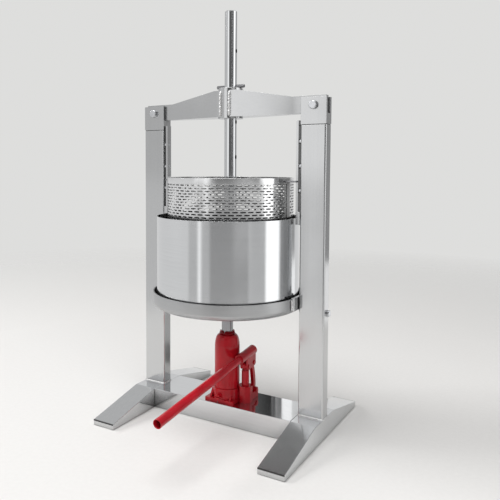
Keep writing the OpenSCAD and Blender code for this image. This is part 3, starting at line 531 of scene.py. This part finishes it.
for side, sign in (("left", -1), ("right", 1)):
    for place, end in (("front", -1), ("back", 1)):
        block = across_a_foot(sign, end, PLATE_THICK, PLATE_PROUD, PLATE_LOW, PLATE_TOP)
        plate = piece(f"{side}_{place}_end_plate", *block, upright_steel, "frame", "stainless_satin")
        round_edges(plate, 0.5)
        # a black strip over the gap under the sheet's end: painted shade
        block = across_a_foot(sign, end, GAP_SHADE_THICK, GAP_SHADE_PROUD, GAP_SHADE_LOW, GAP_SHADE_TOP)
        seal = piece(f"{side}_{place}_end_gap_shade", *block, seal_rubber, "frame", "black_rubber")
        round_edges(seal, 0.2)
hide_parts("foot_end_plates")

# %% [markdown]
# ## The jack's tank
# The tank is a drawn steel shell that narrows to the top nut in a long round shoulder. A lathe gives such a shape: one
# outline, turned round the upright axis. The outline here is the shell's wall, up the outside and down the inside.

# %% Turn the tank
def turned(name, outline, middle, finish, body, slot, steps=72):
    """A shell of revolution: outline holds (radius, height) once round its section."""
    count, points, faces = len(outline), [], []
    for k in range(steps):
        turn = 2 * math.pi * k / steps
        points += [(middle[0] + r * math.cos(turn), middle[1] + r * math.sin(turn), z) for r, z in outline]
        a, b = k * count, (k + 1) % steps * count
        faces += [(a + i, b + i, b + (i + 1) % count, a + (i + 1) % count) for i in range(count)]
    return piece(name, points, faces, finish, body, slot)


TANK_LOW, TANK_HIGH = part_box("jack_tank")
tank_radius = (TANK_HIGH[0] - TANK_LOW[0]) / 2
tank_middle = ((TANK_LOW[0] + TANK_HIGH[0]) / 2, (TANK_LOW[1] + TANK_HIGH[1]) / 2)
SHOULDER_TALL, SHOULDER_FULL, NECK_RADIUS, SHELL = 26.0 * MM, 0.8, 15.2 * MM, 2.5 * MM


def shoulder(radius, top, steps=12):
    """The rounded upper part of the outline, from the wall in to the neck."""
    neck = min(NECK_RADIUS, radius)
    outline = []
    for k in range(steps + 1):
        bend = math.radians(90 * k / steps)
        across = neck + (radius - neck) * math.cos(bend) ** SHOULDER_FULL
        outline.append((across, top - SHOULDER_TALL * (1 - math.sin(bend))))
    return outline


outside = shoulder(tank_radius, TANK_HIGH[2])
inside = shoulder(tank_radius - SHELL, TANK_HIGH[2] - SHELL)
shell = [(tank_radius, TANK_LOW[2])] + outside + inside[::-1] + [(tank_radius - SHELL, TANK_LOW[2])]
tank = turned("tank_shell", shell, tank_middle, jack_red, "frame", "jack_paint")
round_edges(tank, 0.3, angle=50)
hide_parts("jack_tank")
print("tank radius mm:", round(tank_radius * 1000, 1), "shoulder mm:", SHOULDER_TALL * 1000)

# %% [markdown]
# ## Weld beads
# The beam's arms are welded to the sleeve, the uprights to the base, and the guides to the tray. A bead is a row of
# frozen drops, so a plain tube would look wrong: here a ring of points walks along the seam, and its radius swells
# and shrinks with every drop. Half of the bead is buried in the corner that it fills.

# %% A bead along a path
BEAD_SIDES, RINGS_A_DROP = 10, 5
SINK, WANDER, WANDER_PACE, WANDER_START = 0.22, 0.07, 2.3, 1.0
END_ROUND, END_WIDTH = 1.2, 0.05


def walk(path, step):
    """Spots along the points of path, about a step apart, each with its distance from the start."""
    spots, done = [], 0.0
    for first, second in zip(path, path[1:]):
        length = (second - first).length
        count = max(2, round(length / step))
        spots += [(first.lerp(second, i / count), done + length * i / count) for i in range(count)]
        done += length
    return spots + [(path[-1], done)]


def bead(name, path, radius, body, slot, drop):
    """A weld along the points of path: radius is its half width, drop the length of one ripple."""
    spots = walk([Vector(p) for p in path], drop / RINGS_A_DROP)
    full = spots[-1][1]
    points, faces, side = [], [], None
    for i, (spot, along) in enumerate(spots):
        ahead = (spots[min(i + 1, len(spots) - 1)][0] - spots[max(i - 1, 0)][0]).normalized()
        side = (side - ahead * side.dot(ahead)).normalized() if side else ahead.orthogonal().normalized()
        other = ahead.cross(side)
        phase = along / drop
        ripple = 1 - SINK * (phase % 1.0) ** 2 + WANDER * math.sin(phase * WANDER_PACE + WANDER_START)
        end = min(1.0, (min(along, full - along) / (END_ROUND * radius)) ** 0.5)
        width = radius * ripple * max(END_WIDTH, end)
        for k in range(BEAD_SIDES):
            turn = 2 * math.pi * k / BEAD_SIDES
            points.append(spot + (side * math.cos(turn) + other * math.sin(turn)) * width)
        if i:
            a, b = (i - 1) * BEAD_SIDES, i * BEAD_SIDES
            faces += [(a + k, a + (k + 1) % BEAD_SIDES, b + (k + 1) % BEAD_SIDES, b + k) for k in range(BEAD_SIDES)]
    faces.append(tuple(reversed(range(BEAD_SIDES))))
    faces.append(tuple(range(len(points) - BEAD_SIDES, len(points))))
    piece(name, points, faces, weld_steel, body, slot)


# %% Beads on the beam
BEAM_BEAD, BEAM_DROP, BEAM_SHORT = 3.5 * MM, 3.0 * MM, 1 * MM
SLEEVE_LOW, SLEEVE_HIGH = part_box("rod_sleeve")
ARM_LOW, ARM_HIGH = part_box("right_beam_arm")
sleeve_radius = (SLEEVE_HIGH[0] - SLEEVE_LOW[0]) / 2
arm_half = (ARM_HIGH[1] - ARM_LOW[1]) / 2
beam_bead_x = math.sqrt(sleeve_radius ** 2 - arm_half ** 2)
for side, sign in (("left", -1), ("right", 1)):
    for face, front in (("front", -1), ("back", 1)):
        x, y = sign * beam_bead_x, front * arm_half
        path = [(x, y, ARM_LOW[2] + BEAM_SHORT), (x, y, ARM_HIGH[2] - BEAM_SHORT)]
        bead(f"{side}_{face}_sleeve_bead", path, BEAM_BEAD, "frame", "stainless_satin", BEAM_DROP)

# %% Beads under the posts and beside the tray
POST_BEAD, POST_DROP, POST_RISE, POST_LAP = 1.8 * MM, 1.8 * MM, 0.3 * MM, 4
GUIDE_BEAD, GUIDE_DROP, GUIDE_INSET = 2.2 * MM, 2.8 * MM, 1.6 * MM
GUIDE_START, GUIDE_STOP = 1 * MM, 4 * MM
for side, sign in (("left", -1), ("right", 1)):
    low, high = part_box(f"{side}_upright")
    ring = rounded_outline((high[0] - low[0]) / 2, (high[1] - low[1]) / 2, TUBE_CORNER, steps=3)
    mid_x, mid_y = (low[0] + high[0]) / 2, (low[1] + high[1]) / 2
    foot_path = [(mid_x + x, mid_y + y, low[2] + POST_RISE) for x, y in ring[-POST_LAP:] + ring]
    bead(f"{side}_post_bead", foot_path, POST_BEAD, "frame", "stainless_satin", POST_DROP)
    guide_low, guide_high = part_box(f"{side}_tray_guide")
    edge_x = (guide_low if sign > 0 else guide_high)[0] + sign * GUIDE_INSET
    for face, y in (("front", guide_low[1]), ("back", guide_high[1])):
        path = [(edge_x, y, guide_low[2] + GUIDE_START), (edge_x, y, guide_high[2] - GUIDE_STOP)]
        bead(f"{side}_{face}_guide_bead", path, GUIDE_BEAD, "tray", "stainless_satin", GUIDE_DROP)

# %% [markdown]
# ## The studio
# Steel shows what stands round it, so the room matters as much as the lamps. The floor is a pale disc that fades into
# a world of the same colour, which hides its edge. The lamps are large, soft and far off, so that they light the floor
# evenly. A round wall of tall boards, some white and some dark, is seen only in reflections: it gives the tubes and the
# drum the upright bands of a real room.

# %% World
PALE, AMBIENT = (0.73, 0.73, 0.72), (0.30, 0.30, 0.30)
world = bpy.data.worlds.new("pale room")
scene.world = world
world.use_nodes = True
sky_tree = world.node_tree
sky = sky_tree.nodes["Background"]
ray = sky_tree.nodes.new("ShaderNodeLightPath")
seen = sky_tree.nodes.new("ShaderNodeMath")
mirrored = sky_tree.nodes.new("ShaderNodeMath")
for adder in (seen, mirrored):
    adder.operation, adder.use_clamp = "ADD", True
sky_tree.links.new(ray.outputs["Is Camera Ray"], seen.inputs[0])
sky_tree.links.new(ray.outputs["Is Transmission Ray"], seen.inputs[1])
sky_tree.links.new(seen.outputs["Value"], mirrored.inputs[0])
sky_tree.links.new(ray.outputs["Is Glossy Ray"], mirrored.inputs[1])
sky_tree.links.new(mixed(sky_tree, mirrored.outputs["Value"], AMBIENT, PALE), sky.inputs["Color"])
sky.inputs["Strength"].default_value = 1.0
print("world:", PALE, "to the eye,", AMBIENT, "as light")

# %% Floor
FLOOR_RADIUS, FLOOR_DROP = 3.2, 0.5 * MM
FADE_START, FADE_END = 0.9, 2.7
FLOOR_DARK, FLOOR_LIGHT = (0.765, 0.755, 0.74), (0.785, 0.775, 0.76)


def disc(name, radius, sides=96):
    """A flat disc that belongs to the studio."""
    mesh = bpy.data.meshes.new(name)
    turns = [2 * math.pi * k / sides for k in range(sides)]
    mesh.from_pydata([(radius * math.cos(t), radius * math.sin(t), 0.0) for t in turns], [], [tuple(range(sides))])
    made = bpy.data.objects.new(name, mesh)
    scene.collection.objects.link(made)
    return made


floor = disc("floor", FLOOR_RADIUS)
floor.location.z = -FLOOR_DROP
floor_pale, floor_tree, floor_shader = new_finish("pale floor")
floor_shader.inputs["Roughness"].default_value = 0.75
floor_shader.inputs["Specular IOR Level"].default_value = 0.2
speckle = spread(floor_tree, noise(floor_tree, (120,) * 3, detail=4.0), 0, 1)
floor_tree.links.new(mixed(floor_tree, speckle, FLOOR_DARK, FLOOR_LIGHT), floor_shader.inputs["Base Color"])
where = floor_tree.nodes.new("ShaderNodeTexCoord")
reach = floor_tree.nodes.new("ShaderNodeVectorMath")
reach.operation = "LENGTH"
clear = floor_tree.nodes.new("ShaderNodeBsdfTransparent")
fade = floor_tree.nodes.new("ShaderNodeMixShader")
floor_tree.links.new(where.outputs["Object"], reach.inputs[0])
far_off = spread(floor_tree, reach.outputs["Value"], 0, 1, start=FADE_START, end=FADE_END)
floor_tree.links.new(far_off, fade.inputs["Fac"])
floor_tree.links.new(floor_shader.outputs["BSDF"], fade.inputs[1])
floor_tree.links.new(clear.outputs["BSDF"], fade.inputs[2])
floor_tree.links.new(fade.outputs["Shader"], floor_tree.nodes["Material Output"].inputs["Surface"])
floor.data.materials.append(floor_pale)
print("floor radius", FLOOR_RADIUS, "m")


# %% Lamps
def soft_lamp(name, place, target, size, watts):
    """A square lamp of that size, turned to its target."""
    lamp = bpy.data.lights.new(name, "AREA")
    lamp.energy, lamp.size = watts, size
    holder = bpy.data.objects.new(name, lamp)
    holder.location = place
    holder.rotation_euler = (Vector(target) - Vector(place)).to_track_quat("-Z", "Y").to_euler()
    scene.collection.objects.link(holder)


# name, place, target, size in metres, power in watts
for lamp_row in (("key lamp", (-4.6, -1.8, 3.2), (0, 0, 0.25), 2.4, 180),
                 ("top lamp", (-0.2, -0.9, 3.4), (0, 0, 0.1), 2.2, 68),
                 ("side lamp", (2.0, -1.6, 1.2), (0, 0, 0.25), 1.2, 18)):
    soft_lamp(*lamp_row)
print("lamps:", len(bpy.data.lights))

# %% Boards round the room, seen in reflections only
BLACK, DARK, GREY, MIST, SOFT, LIGHT, WHITE = 0.12, 0.34, 0.53, 0.60, 0.72, 1.1, 1.45
# each board starts at so many degrees round from the right-hand side, and runs to the next
low_boards = [(-180, SOFT), (-119, GREY), (-104, LIGHT), (-99, GREY), (-86, DARK), (-31, GREY), (-4, WHITE),
              (21, GREY), (27, BLACK), (48, DARK), (64, SOFT)]
high_boards = [(-180, MIST), (-122, LIGHT), (-93, BLACK), (-10, WHITE), (26, DARK), (70, SOFT), (140, GREY)]
BORDER_STEPS, BORDER_STEP = 3, 0.6


def board_at(boards, turn):
    """How bright a ring of boards is in one direction, with soft borders between boards."""
    total = 0.0
    for step in range(-BORDER_STEPS, BORDER_STEPS + 1):
        spot = (turn + step * BORDER_STEP + 180) % 360 - 180
        total += [bright for start, bright in boards if start <= spot][-1]
    return total / (2 * BORDER_STEPS + 1)


print("boards:", len(low_boards) + len(high_boards))

# %% Sheets that glow
board_glow = bpy.data.materials.new("board glow")
board_glow.use_nodes = True
board_tree = board_glow.node_tree
glow = board_tree.nodes.new("ShaderNodeEmission")
tone = board_tree.nodes.new("ShaderNodeAttribute")
tone.attribute_name = "bright"
board_tree.links.new(tone.outputs["Fac"], glow.inputs["Strength"])
board_tree.links.new(glow.outputs["Emission"], board_tree.nodes["Material Output"].inputs["Surface"])
board_glow.cycles.emission_sampling = "NONE"


def glow_sheet(name, points, faces, tones):
    """A sheet that glows with a tone at each point and is seen in reflections only."""
    mesh = bpy.data.meshes.new(name)
    mesh.from_pydata(points, [], faces)
    bright = mesh.attributes.new("bright", "FLOAT", "POINT")
    bright.data.foreach_set("value", tones)
    mesh.materials.append(board_glow)
    made = bpy.data.objects.new(name, mesh)
    scene.collection.objects.link(made)
    for kind in ("camera", "diffuse", "transmission", "volume_scatter", "shadow"):
        setattr(made, "visible_" + kind, False)


WALL_RADIUS, WALL_STEPS = 1.0, 720
WALL_LOW, WALL_SPLIT, WALL_HIGH, SPLIT_HALF = 0.0, 0.47, 2.4, 0.02
rows = [(WALL_LOW, low_boards), (WALL_SPLIT - SPLIT_HALF, low_boards),
        (WALL_SPLIT + SPLIT_HALF, high_boards), (WALL_HIGH, high_boards)]
wall_points, wall_tones, wall_faces = [], [], []
for k in range(WALL_STEPS):
    turn = 2 * math.pi * k / WALL_STEPS
    wall_points += [(WALL_RADIUS * math.cos(turn), WALL_RADIUS * math.sin(turn), z) for z, boards in rows]
    wall_tones += [board_at(boards, math.degrees(turn)) for z, boards in rows]
    a, b = k * len(rows), (k + 1) % WALL_STEPS * len(rows)
    wall_faces += [(a + i, b + i, b + i + 1, a + i + 1) for i in range(len(rows) - 1)]
glow_sheet("room_wall", wall_points, wall_faces, wall_tones)
print("wall faces:", len(wall_faces))

# %% [markdown]
# ## A low backdrop of cards
# Black and white cards behind polished steel give its flats an edge. Behind this stand a low row of them shows in the
# base's top and in the inner faces of the posts, and a pale card at the right brightens the lower half of the tube's
# side. All stand clear of the press, and they too are seen in reflections only.

# %% Black, grey and white cards
CARD_ROW, CARD_NEAR = 0.32, 0.20
CARD_TALL, KNEE_TALL, LOW_TALL = 0.26, 0.15, 0.055
# name, distance behind, left and right edge, height, tone at the left and at the right
cards = [("left_card", CARD_ROW, -0.187, -0.109, CARD_TALL, DARK, DARK),
         ("black_card", CARD_ROW, -0.109, -0.056, CARD_TALL, 0.10, 0.03),
         ("dark_card", CARD_ROW, -0.056, -0.045, CARD_TALL, 0.20, 0.05),
         ("grey_card", CARD_ROW, -0.045, -0.027, CARD_TALL, DARK, BLACK),
         ("white_card", CARD_ROW, -0.027, 0.001, CARD_TALL, LIGHT, LIGHT),
         ("knee_card", CARD_ROW, 0.045, 0.100, KNEE_TALL, DARK, DARK),
         ("low_card", CARD_NEAR, -0.035, 0.008, LOW_TALL, 0.08, 0.08)]
for name, back, left, right, high, start, end in cards:
    corners = [(left, back, 0), (right, back, 0), (right, back, high), (left, back, high)]
    glow_sheet(name, corners, [(0, 1, 2, 3)], [start, end, end, start])
SIDE_CARD, SIDE_RADIUS, SIDE_TALL = (50, 67), 0.97, 0.20
side_turns = [math.radians(turn) for turn in SIDE_CARD]
corners = [(SIDE_RADIUS * math.cos(t), SIDE_RADIUS * math.sin(t), z) for t in side_turns for z in (0.0, SIDE_TALL)]
glow_sheet("side_card", corners, [(0, 1, 3, 2)], [LIGHT] * 4)
print("cards:", len(cards) + 1)
